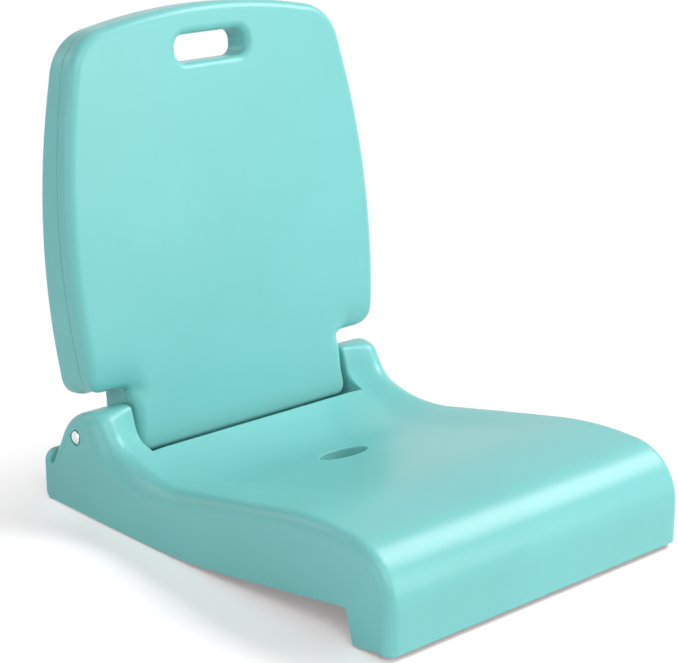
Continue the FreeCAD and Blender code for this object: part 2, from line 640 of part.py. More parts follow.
front_keep = fuse("front_keep", webs + [slot_frame] + posts(
    "front_post", "Sizes.post_radius", "Sizes.front_half", -size("front_half")))
rear_keep = fuse("rear_keep", webs + [slot_frame, grip_frame, neck_tube] + posts(
    "rear_post", "Sizes.head_radius + Sizes.head_room + 2", "Sizes.deep", 0))
pilots = posts("pilot", "Sizes.screw_radius + Sizes.seat_fit", "Sizes.screw_reach + 0.5",
               -size("screw_reach") - 0.5)
front_cuts = fuse("front_cuts", [cut("front_hollow", front_inner, front_keep)] + pilots)
backrest_front_shell = cut("backrest_front_shell", front_outer, front_cuts)
heels = [block("stop_heel_%d" % i, "Sizes.stop_width", "Sizes.heel_rear - 20",
               "Sizes.heel_rise", V(x - size("stop_width") / 2, 20, size("neck_low")),
               BACK_FRAME)
         for i, x in enumerate((-size("stop_x"), size("stop_x")))]
neck_bore = rod("neck_bore", "Sizes.rod_radius + Sizes.rod_room", "2 * Sizes.neck_half",
                PIN - V(NECK, 0, 0))
bush_bores = [rod("neck_bush_bore_%d" % i, "Sizes.bush_radius + Sizes.seat_fit",
                  "Sizes.bush_length", PIN + V(x, 0, 0))
              for i, x in enumerate((-NECK - 1, NECK - size("bush_length") + 1))]
rear_cuts = [cut("rear_hollow", rear_inner, rear_keep), slot_hole, grip, neck_bore]
rear_cuts += bush_bores
rear_cuts += posts("head_well", "Sizes.head_radius + Sizes.head_room", "Sizes.deep",
                   size("screw_web"))
rear_cuts += posts("shank_hole", "Sizes.screw_radius + 0.2", "Sizes.screw_web + 2", -1)
backrest_rear_shell = cut("backrest_rear_shell", fuse("rear_solid", [rear_outer] + heels),
                          fuse("rear_cut_tools", rear_cuts))
head = size("screw_web") + size("head_height")
SCREW_VIEW = lathe([(0, -size("screw_reach")), (size("screw_radius") - 0.6, -size("screw_reach")),
                    (size("screw_radius"), 1 - size("screw_reach")),
                    (size("screw_radius"), size("screw_web")),
                    (size("head_radius"), size("screw_web")),
                    (size("head_radius"), head - 0.8), (size("head_radius") - 0.8, head),
                    (1.5, head), (1.5, head - 1.3), (0, head - 1.3)])
BEHIND = BACK_FRAME.Rotation.multiply(FreeCAD.Rotation(V(0, 0, 1), V(0, 1, 0)))
shell_screws = group("shell_screws", [revolve("shell_screw_%d" % i, SCREW_VIEW,
                                              local(x, 0, z), BEHIND)
                                      for i, (x, z) in enumerate(SCREWS)])

# --------------------------------------------------------------- export
NODES = [seat_shell, hinge_rod, rod_cap_left, rod_cap_right, lug_bushing_left,
         lug_bushing_right, thrust_washer_left, thrust_washer_right, stop_buffers,
         base_feet, lip_pads, backrest_front_shell, backrest_rear_shell,
         neck_bushing_left, neck_bushing_right, shell_screws]
ORIGIN = FreeCAD.Placement(V(0, -MID, 0), FreeCAD.Rotation())
doc.recompute()
for thing in doc.Objects:
    if {"Invalid", "Error"} & set(thing.State):
        raise RuntimeError("%s did not build: %s" % (thing.Name, thing.State))
for node in NODES:
    node.Label = node.Name
    node.Placement = ORIGIN.multiply(node.Placement)
doc.recompute()
for node in NODES:
    shape = node.Shape
    if shape.isNull() or not shape.isValid():
        raise RuntimeError("%s has no valid shape" % node.Name)
    shape.exportStep("parts/%s.step" % node.Label)
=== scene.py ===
"""Looks of the legless folding seat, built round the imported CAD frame.

The moulded shells get surfaces of their own, drawn from the same sizes as the
CAD shells but with the soft, changing roundings of a real moulding. The hinge
pieces, screws and rubber feet keep their CAD shape and get materials only.
Lengths inside this file are millimetres; meshes are written in metres.
"""
import math

import bpy
import numpy as np
from bpy.props import FloatProperty, FloatVectorProperty, IntProperty, PointerProperty
from mathutils import Matrix, Vector
from mathutils.geometry import delaunay_2d_cdt


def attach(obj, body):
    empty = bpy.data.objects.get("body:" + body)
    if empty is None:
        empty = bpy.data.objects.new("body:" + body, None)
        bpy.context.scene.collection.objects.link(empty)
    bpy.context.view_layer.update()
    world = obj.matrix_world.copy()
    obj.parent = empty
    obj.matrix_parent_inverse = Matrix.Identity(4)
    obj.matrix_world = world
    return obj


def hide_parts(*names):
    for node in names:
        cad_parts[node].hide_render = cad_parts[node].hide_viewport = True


bl_info = {
    "name": "Folding Seat Looks",
    "version": (1, 0, 0),
    "blender": (4, 5, 0),
    "location": "View3D > Sidebar > Folding Seat",
    "description": "Moulded surfaces, materials and stage for a legless folding seat",
    "category": "Object",
}

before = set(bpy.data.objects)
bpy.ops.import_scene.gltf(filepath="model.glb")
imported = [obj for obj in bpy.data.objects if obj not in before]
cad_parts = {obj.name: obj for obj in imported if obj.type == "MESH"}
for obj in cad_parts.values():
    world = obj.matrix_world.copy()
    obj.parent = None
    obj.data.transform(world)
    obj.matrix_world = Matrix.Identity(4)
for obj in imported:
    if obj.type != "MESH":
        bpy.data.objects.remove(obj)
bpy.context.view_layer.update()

HALF = 180.0          # half the seat's width
DEPTH = 481.5         # lip front to rear face
MID = DEPTH / 2
FLANK = 179.65        # the flat sides stand just inside the rolled edge
RECESS = 132.5        # half the hinge recess
RECESS_FLOOR = 30.0   # height of the floor of the recess
EDGE = 375.5          # rear edge of the deck, over the recess
EDGE_ROUND = 2.0
WALL_FRONT = 473.5    # front face of the rear wall
WALL_TOP = 50.0
PIN = np.array([429.5, 75.5])    # hinge pin: back, up
DRAIN = np.array([0.0, 254.0])   # middle of the oval drain: across, back
DRAIN_SIZE = (26.0, 16.7)        # its half lengths across and back
HEEL = 53.4           # rear face of the wall behind the lip
FOOT_RADIUS, STEM_RADIUS = 12.2, 4.0
RIB_HALF = 1.25       # half a rib's thickness
LEAN = math.radians(7.2)
FOOT = 402.0          # where the backrest seam plane meets the floor
FACE = 18.0           # seam plane to the backrest's front face
GRIP_UP = 424.0       # middle of the hand slot
GRIP_SIZE = (42.0, 13.0, 11.0)   # its half width, half height, corner radius
POCKET_GROWTH, POCKET_DEPTH = 14.0, 12.0   # finger pocket: past the slot, above the seam
WELL_RADIUS, WELL_FLOOR = 4.0, 4.0         # screw wells in the rear half
STOP_X, STOP_HALF = 76.0, 18.0   # stop ledges and heel blocks: place, half width
SIDE = [              # side view: back, up, corner radius
    (0, 5.9, 0), (0, 92, 52.5), (101.6, 97.1, 330), (320.7, 57.1, 150),
    (375.5, 76.9, 45), (395.9, 103, 16), (440.3, 103, 50), (468, 38.9, 5),
    (476, 38.9, 0),
]
BELLY = [(0, 5.9, 3), (45, 1, 3), (53.5, 32.1, 4), (262.6, 1, 890), (474, 1, 0)]
SHIELD = [            # right half of the backrest outline, neck to crown
    (129, 56.2, 12), (129, 120.2, 8), (174.7, 120.2, 18), (194.5, 267.6, 720),
    (154.7, 446.3, 47), (0, 474.6, 600),
]


# ------------------------------------------------------------ number work
def smooth(x, low, high):
    """Soft step: 0 below low, 1 above high, flat at both ends."""
    k = np.clip((np.asarray(x, float) - low) / (high - low), 0, 1)
    return k * k * (3 - 2 * k)


def curve(x, knots, values):
    """Smooth cubic through knots, level beyond the first and the last.

    Between two knots it is their soft step plus the slopes at both, each weighted by
    t (1 - t) and its nearness."""
    knots, values = np.asarray(knots, float), np.asarray(values, float)
    slope = np.gradient(values, knots)
    slope[[0, -1]] = 0
    x = np.clip(np.asarray(x, float), knots[0], knots[-1])
    i = np.clip(np.searchsorted(knots, x, "right") - 1, 0, len(knots) - 2)
    h = knots[i + 1] - knots[i]
    t = (x - knots[i]) / h
    rise = values[i] + (values[i + 1] - values[i]) * t * t * (3 - 2 * t)
    return rise + h * t * (1 - t) * (slope[i] * (1 - t) - slope[i + 1] * t)


def polyline(corners, step, closed=False):
    """Evenly spaced points along straight runs and the arcs that round their corners.

    An arc's centre lies on the bisector of its corner, radius / sin(half the angle)
    away, and the arc starts where the straight run touches it. Each corner is across,
    up and radius."""
    p = np.array([c[:2] for c in corners], float)
    count = len(p)
    runs = []
    for i in range(count):
        radius = corners[i][2]
        if radius <= 0 or (not closed and i in (0, count - 1)):
            runs.append(p[i][None])
            continue
        a, b = p[i - 1] - p[i], p[(i + 1) % count] - p[i]
        a, b = a / np.hypot(*a), b / np.hypot(*b)
        half = math.acos(np.clip(a @ b, -1, 1)) / 2
        centre = p[i] + (a + b) / np.hypot(*(a + b)) * radius / math.sin(half)
        start = p[i] + a * radius / math.tan(half) - centre
        sweep = math.pi - 2 * half
        sign = np.sign(start[1] * a[0] - start[0] * a[1])
        k = np.linspace(0, sweep, max(5, int(sweep * radius / 0.5)))[:, None] * sign
        turn = np.c_[-start[1], start[0]][0]
        runs.append(centre + np.cos(k) * start + np.sin(k) * turn)
    dense = np.vstack(runs + ([runs[0][:1]] if closed else []))
    along = np.r_[0, np.cumsum(np.hypot(*np.diff(dense, axis=0).T))]
    keep = np.r_[True, np.diff(along) > 1e-9]
    dense, along = dense[keep], along[keep]
    marks = np.linspace(0, along[-1], max(8, int(round(along[-1] / step))) + 1)
    line = np.c_[np.interp(marks, along, dense[:, 0]), np.interp(marks, along, dense[:, 1])]
    return line[:-1] if closed else line


def circle(sides):
    """Points of the unit circle, anticlockwise from the right."""
    spin = np.linspace(0, 2 * math.pi, sides + 1)[:-1]
    return np.c_[np.cos(spin), np.sin(spin)]


def normals2(line, closed=False):
    """Unit normals to the left of travel at each point of a line."""
    if closed:
        d = np.roll(line, -1, 0) - np.roll(line, 1, 0)
    else:
        d = np.gradient(line, axis=0)
    d /= np.hypot(d[:, 0], d[:, 1])[:, None]
    return np.c_[-d[:, 1], d[:, 0]]


def grid_faces(rows, cols, wrap=False, start=0):
    """Quads over a grid of points kept row by row; wrap joins the last column to the first."""
    r = np.arange(rows - 1)[:, None]
    c = np.arange(cols if wrap else cols - 1)[None]
    n = (c + 1) % cols
    quads = np.stack([r * cols + c, r * cols + n, (r + 1) * cols + n, (r + 1) * cols + c], -1)
    return quads.reshape(-1, 4) + start


class Surface:
    """Gathers grids of points and loose faces into one mesh."""

    def __init__(self):
        self.points, self.quads, self.tris, self.count = [], [], [], 0

    def grid(self, points, wrap=False, flip=False):
        """Quads over rows and columns of points; wrap closes each row, flip turns them over."""
        rows, cols = points.shape[:2]
        quads = grid_faces(rows, cols, wrap, self.count)
        self.quads.append(quads[:, ::-1] if flip else quads)
        self.points.append(points.reshape(-1, 3))
        self.count += rows * cols

    def mirrored(self, points, wrap=False, flip=False):
        """A grid and its mirror image across the middle plane."""
        self.grid(points, wrap, flip)
        self.grid(points * np.array([-1, 1, 1]), wrap, not flip)

    def faces(self, points, tris, flip=False):
        """Loose triangles over a list of points."""
        self.tris.append((tris[:, ::-1] if flip else tris) + self.count)
        self.points.append(points)
        self.count += len(points)

    def build(self, name, sharp=38.0, weld=0.02):
        """Mesh object at the origin, points welded, sharp edges kept above an angle."""
        co = (np.vstack(self.points) - (0, MID, 0)) / 1000.0
        quads = np.vstack(self.quads) if self.quads else np.zeros((0, 4), int)
        tris = np.vstack(self.tris) if self.tris else np.zeros((0, 3), int)
        key = np.round(co / (weld / 1000.0)).astype(np.int64)
        _, first, back = np.unique(key, axis=0, return_index=True, return_inverse=True)
        co, back = co[first], back.ravel()
        quads, tris = back[quads], back[tris]
        bad = quads == np.roll(quads, -1, 1)
        thin = bad.sum(1) == 1
        pinch = quads[thin]
        order = (np.argmax(bad[thin], 1)[:, None] + np.array([1, 2, 3])) % 4
        tris = np.vstack([tris, np.take_along_axis(pinch, order, 1)])
        quads = quads[bad.sum(1) == 0]
        tris = tris[(tris != np.roll(tris, -1, 1)).all(1)]
        mesh = bpy.data.meshes.new(name)
        mesh.vertices.add(len(co))
        mesh.vertices.foreach_set("co", co.astype(np.float32).ravel())
        loops = np.r_[quads.ravel(), tris.ravel()]
        sizes = np.r_[np.full(len(quads), 4), np.full(len(tris), 3)]
        mesh.loops.add(len(loops))
        mesh.loops.foreach_set("vertex_index", loops.astype(np.int32))
        mesh.polygons.add(len(sizes))
        mesh.polygons.foreach_set("loop_start", (np.cumsum(sizes) - sizes).astype(np.int32))
        mesh.update(calc_edges=True)
        mesh.validate()
        mesh.polygons.foreach_set("use_smooth", np.ones(len(mesh.polygons), bool))
        mesh.set_sharp_from_angle(angle=math.radians(sharp))
        thing = bpy.data.objects.new(name, mesh)
        bpy.context.scene.collection.objects.link(thing)
        return thing


def inside(points, loop):
    """Which points lie inside a closed loop, by counting crossings of a ray."""
    x, y = points[:, :1], points[:, 1:]
    ax, ay = loop[None, :, 0], loop[None, :, 1]
    bx, by = np.roll(ax, -1, 1), np.roll(ay, -1, 1)
    with np.errstate(divide="ignore", invalid="ignore"):
        hit = ((ay > y) != (by > y)) & (x < (bx - ax) * (y - ay) / (by - ay) + ax)
    return hit.sum(1) % 2 == 1


def distance(points, loop):
    """Distance from each point to the nearest side of a closed loop."""
    a, b = loop[None], np.roll(loop, -1, 0)[None]
    ab, ap = b - a, points[:, None] - a
    k = np.clip((ap * ab).sum(2) / (ab * ab).sum(2), 0, 1)[..., None]
    return np.sqrt(((ap - ab * k) ** 2).sum(2).min(1))


def offset(loop, gap):
    """A closed loop moved to its left by gap."""
    return loop + normals2(loop, True) * gap


def fill(outer, holes, rings, spacing, margin):
    """Flat triangles inside outer and outside the holes, with rings and a grid of points.

    The grid keeps a margin from every edge. Points that were handed in keep their exact
    places, and slivers less than 0.005 high are left out."""
    edged = [outer] + holes
    low, high = outer.min(0), outer.max(0)
    gx = np.arange(low[0] + spacing / 2, high[0], spacing)
    gy = np.arange(low[1] + spacing / 2, high[1], spacing)
    inner = np.stack(np.meshgrid(gx, gy), -1).reshape(-1, 2)
    ok = inside(inner, outer) & (distance(inner, outer) > margin)
    for hole in holes:
        ok &= ~inside(inner, hole) & (distance(inner, hole) > margin)
    points = np.vstack(edged + rings + [inner[ok]])
    edges, start = [], 0
    for loop in edged + rings:
        k = np.arange(len(loop))
        edges.append(np.c_[k, (k + 1) % len(loop)] + start)
        start += len(loop)
    made = delaunay_2d_cdt(points.tolist(), np.vstack(edges).tolist(), [], 0, 1e-5)
    flat = np.array(made[0], float)
    own = np.array([ids[0] if len(ids) else -1 for ids in made[3]])
    flat[own >= 0] = points[own[own >= 0]]
    tris = np.array(made[2])
    middle = flat[tris].mean(1)
    good = inside(middle, outer)
    for hole in holes:
        good &= ~inside(middle, hole)
    a, b, c = (flat[tris[:, i]] for i in range(3))
    area = np.cross(b - a, c - a)
    tris = np.where((area > 0)[:, None], tris, tris[:, ::-1])
    longest = np.max([np.hypot(*(p - q).T) for p, q in ((a, b), (b, c), (c, a))], 0)
    return flat, tris[good & (np.abs(area) > 0.005 * longest)]


def roll(gap, radius):
    """Drop of a quarter-round edge at a distance gap inside it.

    It is radius minus the root of radius squared less (radius - gap) squared."""
    k = np.clip(radius - gap, 0, radius)
    return radius - np.sqrt(np.maximum(radius ** 2 - k ** 2, 0))


# ------------------------------------------------------- seat moulding
def lift(y):
    """How far the middle of the ramp lies behind its sides: a soft hill along the seat."""
    return 20 * smooth(y, 300, 364) * (1 - smooth(y, 365, 414))


def edge_radius(y):
    """Radius of the moulding's upper side edge along the seat: a curve through knots."""
    return curve(y, [0, 55, 110, 200, 250, 305, 345, 372, 396, 414, 436, 455, 467],
                 [10, 11.5, 13, 14, 16, 18.5, 23.5, 25, 19, 12, 10, 8, 3])


def split_path(path):
    """Side path with one point added where the ramp's middle meets the recess.

    The point slides between its neighbours until its place back plus the lift there is
    the start of the deck's rear rounding. Its number comes back too."""
    goal = EDGE - EDGE_ROUND
    moved = path[:, 0] + lift(path[:, 0])
    ramp_start = 330
    i = int(np.argmax((moved > goal) & (path[:, 0] > ramp_start)))
    k = (goal - moved[i - 1]) / (moved[i] - moved[i - 1])
    for _ in range(6):
        p = path[i - 1] + (path[i] - path[i - 1]) * k
        k += (goal - p[0] - lift(p[0])) / (path[i, 0] - path[i - 1, 0])
    return np.insert(path, i, p, axis=0), i


PATH, BREAK = split_path(polyline(SIDE, 2.6))
NORMAL = normals2(PATH)


def deck(x, pan_depth):
    """Seat surface: the side path across the width, with the sunk pan and the set-back ramp.

    Height is the path's, less the pan: its depth times a curve along the seat times a
    soft step across, which is 1 in the middle and 0 at the bolsters. Place back is the
    path's plus the lift, which eases out across the lugs beside the recess, and further
    forward over a wider band. x is a row of half-widths per path point, or one row for
    all."""
    x = np.broadcast_to(np.abs(x), (len(PATH), np.shape(x)[-1]))
    y, z = PATH[:, :1], PATH[:, 1:]
    radius = edge_radius(y)
    crisp = smooth(y, 340, 364)
    fade = 1 - smooth(x, 112, 168) * (1 - crisp) - smooth(x, RECESS - 3, 174) * crisp
    depth = curve(y, [92, 140, 200, 254, 300, 330, 356, 375, 400],
                  [0, 0.3, 0.78, 1.0, 1.03, 0.95, 0.62, 0.25, 0])
    rise = 104 + 24 * smooth(y, 290, 350)
    depth = pan_depth * depth * (1 - smooth(x, rise, np.maximum(HALF - radius, 162)))
    return np.stack([x, y + lift(y) * fade, z - depth], -1)


def seat_top(surf, pan_depth):
    """Deck, bolsters, lugs and the roundings down to the flat sides.

    The middle is the deck itself, with a patch cut out for the drain. Each side goes from
    the recess to the flank: a quarter round down into the recess, the deck, then a
    quarter round of the edge's own radius, laid along the path's normals."""
    half = np.r_[np.linspace(0, 120, 31), np.linspace(124, RECESS, 4)]
    across = np.r_[-half[:0:-1], half]
    middle = deck(across, pan_depth)
    middle[..., 0] = across
    rows = slice(0, BREAK + 1)
    ys = middle[:, 0, 1]
    r0, r1 = np.searchsorted(ys[:BREAK], [228, 280])
    centre = len(half) - 1
    c0, c1 = centre - 10, centre + 10
    body = middle[rows]
    surf.grid(body[:r0 + 1], flip=True)
    surf.grid(body[r1:], flip=True)
    surf.grid(body[r0:r1 + 1, :c0 + 1], flip=True)
    surf.grid(body[r0:r1 + 1, c1:], flip=True)
    drain_patch(surf, body[r0:r1 + 1, c0:c1 + 1], body)
    radius = edge_radius(PATH[:, :1])
    inner = 2.4 * smooth(PATH[:, :1] + lift(PATH[:, :1]), EDGE - EDGE_ROUND, 390)
    phi = np.linspace(math.pi / 2, 0, 8)[None]
    theta = np.linspace(0, math.pi / 2, 17)[None]
    span = np.linspace(0, 1, 15)[None, 1:-1]
    start, end = RECESS + inner, HALF - radius
    x = np.hstack([RECESS + inner * (1 - np.sin(phi)), start + (end - start) * span,
                   HALF - radius * (1 - np.sin(theta))])
    sink = np.hstack([inner * (1 - np.cos(phi)), 0 * span * start,
                      radius * (1 - np.cos(theta))])
    side = deck(x, pan_depth)
    side[..., 1:] -= NORMAL[:, None] * sink[..., None]
    draft = np.repeat(side[:, -1:], 3, 1)
    draft[..., 0] = HALF - np.array([0.1, 0.27, HALF - FLANK])
    draft[..., 1:] -= NORMAL[:, None] * np.array([0.9, 1.8, 3.0])[:, None]
    side = np.concatenate([side, draft], 1)
    surf.mirrored(side, flip=True)
    wall = side[BREAK:, 0]
    k = np.linspace(0, 1, 9)[:, None]
    z = wall[None, :, 2] * (1 - k) + RECESS_FLOOR * k
    surf.mirrored(np.stack([np.full_like(z, RECESS), np.broadcast_to(wall[:, 1], z.shape), z],
                           -1))
    return middle, side


def stadium(half, rise, step=1.5):
    """Round-ended slot outline, anticlockwise, about the origin."""
    r = rise * 0.999
    return polyline([(half, rise, r), (-half, rise, r), (-half, -rise, r), (half, -rise, r)],
                    step, closed=True)


def drain_patch(surf, gone, body):
    """Piece of the deck round the oval drain: rolled rim and a sleeve going down.

    Its height is the deck's middle line, except on the outline, which keeps the heights
    of the grid that it fills (gone), less a quarter round at the drain. The sleeve drops
    from the rim to its foot and comes up again outside, under the deck."""
    rim, sleeve_foot = 1.2, 17.0
    slot = DRAIN + circle(96) * DRAIN_SIZE
    rings = [offset(slot, -g) for g in (0.15, 0.4, 0.8, 1.2, 2.0, 3.2)]
    edge = np.vstack([gone[0, :-1], gone[:-1, -1], gone[-1, :0:-1], gone[:0:-1, 0]])
    flat, tris = fill(edge[:, :2], [slot], rings, 4.0, 3.4)
    back, up = body[:, 0, 1], body[:, len(body[0]) // 2, 2]
    apart = np.abs(flat[:, None] - edge[None, :, :2]).max(2)
    z = np.where(apart.min(1) < 1e-4, edge[apart.argmin(1), 2],
                 np.interp(flat[:, 1], back, up))
    gap = distance(flat, slot)
    z = z - roll(gap, rim) * (gap < rim + 0.1)
    surf.faces(np.c_[flat, z], tris)
    top = np.interp(slot[:, 1], back, up) - rim
    sleeve = [np.c_[slot, top * (1 - k) + sleeve_foot * k] for k in np.linspace(0, 1, 8)]
    sleeve += [np.c_[rings[-1], np.full(len(slot), sleeve_foot)], np.c_[rings[-1], top - 3]]
    surf.grid(np.stack(sleeve), wrap=True, flip=True)


def recess_floor(surf, middle):
    """Front wall and floor of the hinge recess, with its four water slots.

    The deck's rear edge is carried round a quarter turn, straight down and round the
    opposite quarter turn; the floor is level."""
    top = middle[BREAK]
    turn = np.linspace(0, math.pi / 2, 6)
    r = EDGE_ROUND
    edge = np.repeat(top[None], 6, 0)
    edge[..., 1] += (r * np.sin(turn))[:, None]
    edge[..., 2] -= (r * (1 - np.cos(turn)))[:, None]
    surf.grid(edge, flip=True)
    k = np.linspace(0, 1, 8)[:, None]
    wall = np.repeat(edge[-1][None], 8, 0)
    wall[..., 2] = wall[..., 2] * (1 - k) + (RECESS_FLOOR + 3) * k
    surf.grid(wall, flip=True)
    foot = np.repeat(wall[-1][None], 6, 0)
    foot[..., 1] += (r * (1 - np.cos(turn)))[:, None]
    foot[..., 2] -= (r * np.sin(turn))[:, None]
    surf.grid(foot, flip=True)
    edge_x = top[:, 0]
    rim = np.vstack([np.c_[edge_x, np.full(len(edge_x), EDGE + r)],
                     [[RECESS, WALL_FRONT + 0.5], [-RECESS, WALL_FRONT + 0.5]]])
    along = stadium(18, 4)[:, ::-1][::-1]     # turned to run front to back
    slots = [along + np.array([x, 413]) for x in (-105, -35, 35, 105)]
    flat, tris = fill(rim, slots, [], 12, 4)
    surf.faces(np.c_[flat, np.full(len(flat), RECESS_FLOOR)], tris)
    for slot in slots:
        wall = np.stack([np.c_[slot, np.full(len(slot), z)]
                         for z in (RECESS_FLOOR, RECESS_FLOOR - 3.5)])
        surf.grid(wall, wrap=True, flip=True)


def seat_side(surf, side):
    """Flat flanks with the round pocket for the pin end, and the rolled lower edge.

    The lower edge is a quarter round along the belly line's normals. The pocket is a
    profile of reach and radius turned about the pin: rolled rim, wall and floor."""
    crest = side[:, -1, 1:]
    crest = crest[crest[:, 0] < WALL_FRONT + 1]
    under = polyline([(13.0, 5.9, 0)] + BELLY[1:], 3.0)
    edge, rim, width = 1.6, 0.7, 9.0
    turn = np.linspace(0, math.pi / 2, 5)
    lower = under[None] + normals2(under)[None] * (edge * (1 - np.sin(turn)))[:, None, None]
    x = FLANK - edge * (1 - np.cos(turn))
    surf.mirrored(np.concatenate([np.broadcast_to(x[:, None, None], lower.shape[:2] + (1,)),
                                  lower], -1), flip=True)
    outline = np.vstack([lower[0], [[WALL_FRONT + 1, 38.9]], crest[:0:-1]])
    ring = circle(48)
    flat, tris = fill(outline, [PIN + ring * width], [], 14, 5)
    surf.faces(np.c_[np.full(len(flat), FLANK), flat], tris)
    surf.faces(np.c_[np.full(len(flat), -FLANK), flat], tris, flip=True)
    profile = [(FLANK - rim * (1 - np.cos(a)), width - rim * np.sin(a)) for a in turn]
    profile += [(178, 8.3), (177, 8.3), (176.5, 7.9), (176.5, 1.0)]
    surf.mirrored(np.stack([np.c_[np.full(48, reach), PIN + ring * r] for reach, r in profile]),
                  wrap=True)


def relief(surf, outline, height, spacing, rings=(), holes=(), place=None, flip=False,
           margin=4.0, hole_rings=()):
    """Raised face inside an outline: a flat fill lifted by a height function.

    height gives a flat point's height, and place turns flat points and heights into
    points of the piece. rings lie inside the outline at those distances."""
    inner = [offset(outline, g) for g in rings] + list(hole_rings)
    flat, tris = fill(outline, list(holes), inner, spacing, margin)
    surf.faces(place(flat, height(flat)), tris, flip=flip)


def rear_wall(surf):
    """Upright panel behind the gutter, rounded at its top corners and its edges.

    Each face drops by a quarter round towards its outline. The rear face also draws in
    towards the floor, by a quarter round of a larger radius."""
    outline = polyline([(HALF, 1, 0), (HALF, WALL_TOP, 11), (-HALF, WALL_TOP, 11),
                        (-HALF, 1, 0)], 2.5, closed=True)
    front_round, rear_round, foot_round = 2.0, 2.4, 12.0

    def drawn_in(up):
        low = np.clip(foot_round + 1 - up, 0, foot_round)
        return foot_round - np.sqrt(np.maximum(foot_round ** 2 - low ** 2, 0))

    for front in (True, False):
        radius = front_round if front else rear_round

        def height(p, radius=radius):
            gap = distance(p, outline)
            gap = np.where(p[:, 1] < 8, np.abs(np.abs(p[:, 0]) - HALF), gap)
            return roll(gap, radius)

        def place(p, drop, front=front):
            y = WALL_FRONT + drop if front else DEPTH - np.maximum(drop, drawn_in(p[:, 1]))
            return np.c_[p[:, 0], y, p[:, 1]]

        relief(surf, outline, height, 8, (0.3, 0.9, 2.0), place=place, flip=not front,
               margin=6.5)
    start = WALL_FRONT + front_round
    back = DEPTH - np.maximum(rear_round, drawn_in(outline[:, 1]))
    rows = [np.c_[outline[:, 0], y, outline[:, 1]]
            for y in (np.full(len(outline), start), np.maximum(back, start - 0.1))]
    surf.grid(np.stack(rows), wrap=True)


def rib(surf, line, low, high):
    """Upright rib along a plan line, from heights low to heights high.

    One row of points up each face, half a thickness along the line's normals."""
    across = normals2(line) * RIB_HALF
    rows = [np.c_[line + across * sign, low + (high - low) * k]
            for sign, k in ((1, 1.0), (1, 0.0), (-1, 0.0), (-1, 1.0))]
    surf.grid(np.stack(rows))


def underside(surf, middle, side):
    """Ribs, heel wall and foot bosses in the open underside.

    Ribs stand 45 apart both ways, from above the belly line to the skin: the deck's
    middle line, the recess floor or, beside the recess, the lugs' inner line. Heel and
    bosses are profiles carried across and turned."""
    pitch, floor_skin, lug_column = 45, 27.0, 7
    belly = polyline(BELLY, 3.0)
    back = belly[belly[:, 0] > HEEL + 0.2]

    def lower(y):
        return np.where(y < pitch, 9.0, np.interp(y, back[:, 0], back[:, 1]) + 8)

    skin = middle[:, len(middle[0]) // 2, 1:]
    skin = skin[np.argsort(skin[:, 0])]
    lug = side[:, lug_column, 1:]
    lip, end = 6, 474
    runs = [(x, lip, end) for x in (-3 * pitch, -2 * pitch, -pitch, pitch, 2 * pitch, 3 * pitch)]
    runs += [(0, lip, 235), (0, 273, end)]
    for x, first, last in runs:
        ys = np.linspace(first, last, 90)
        if abs(x) > RECESS:
            top = np.interp(ys, *lug.T) - 4
        else:
            top = np.where(ys > 369, floor_skin, np.interp(ys, *skin.T) - 3)
        rib(surf, np.c_[np.full(90, float(x)), ys], np.minimum(lower(ys), top), top)
    xs = np.linspace(-177, 177, 60)
    for y in range(100, 371, pitch):
        top = float(np.interp(y, *skin.T)) - 4 - 6 * smooth(np.abs(xs), 150, 177)
        rib(surf, np.c_[xs, np.full(60, float(y))], np.full(60, float(lower(np.array(y)))), top)
    heel = np.array([[45, 1], [47, 10], [HEEL, 32], [HEEL, 84]])
    for gap in (0.0, -3.5):
        surf.grid(np.stack([np.c_[xs, np.full(60, y + gap), np.full(60, z)] for y, z in heel]),
                  flip=gap < 0)
    surf.grid(np.stack([np.c_[xs, np.full(60, y), np.full(60, 1.0)] for y in (41.5, 45.0)]),
              flip=True)
    ring = circle(40)
    for x in (-140, 140):
        for y, top in ((348, 52.0), (454, 36.0)):
            profile = ((STEM_RADIUS, 2.8), (FOOT_RADIUS, 2.8), (FOOT_RADIUS, 1.0), (15, 1.0),
                       (15, top))
            surf.grid(np.stack([np.c_[(x, y) + ring * r, np.full(40, z)] for r, z in profile]),
                      wrap=True, flip=True)


def block_outline(x, low, high, radius):
    """Rounded rectangle for the stop ledges and heel blocks: across and up."""
    return polyline([(x + STOP_HALF, low, radius), (x + STOP_HALF, high, radius),
                     (x - STOP_HALF, high, radius), (x - STOP_HALF, low, radius)], 2.0,
                    closed=True)


def ledges(surf):
    """Two stop ledges in the recess, square to the resting backrest.

    Flat tops with a quarter round all about, tilted by the lean about the seam's foot,
    and walls going down from them into the floor."""
    top = 50.9
    for x in (-STOP_X, STOP_X):
        outline = block_outline(x, 27, 72, 1.5)

        def place(p, drop):
            y = FOOT + p[:, 1] * math.cos(LEAN) + (top - drop) * math.sin(LEAN)
            z = (top - drop) * math.cos(LEAN) - p[:, 1] * math.sin(LEAN)
            return np.c_[p[:, 0], np.minimum(y, WALL_FRONT + 1.5), z]

        relief(surf, outline, lambda p: roll(distance(p, outline), 1.0), 9, (0.3, 1.0),
               place=place, margin=2)
        wall = [place(outline, np.full(len(outline), d)) for d in (1.0, 12.0, 28.0)]
        surf.grid(np.stack(wall), wrap=True, flip=True)


# ----------------------------------------------------------- backrest
def shield_outline(step=2.4):
    """Backrest outline, anticlockwise seen from the front: the right half and its mirror."""
    left = [(-x, z, r) for x, z, r in SHIELD[-2::-1]]
    return polyline(SHIELD + left, step, closed=True)


def slot_outline(grow):
    """Hand slot, anticlockwise, grown on all sides."""
    half, rise, r = np.add(GRIP_SIZE, grow)
    low, high = GRIP_UP - rise, GRIP_UP + rise
    return polyline([(half, low, r), (half, high, r), (-half, high, r), (-half, low, r)], 1.8,
                    closed=True)


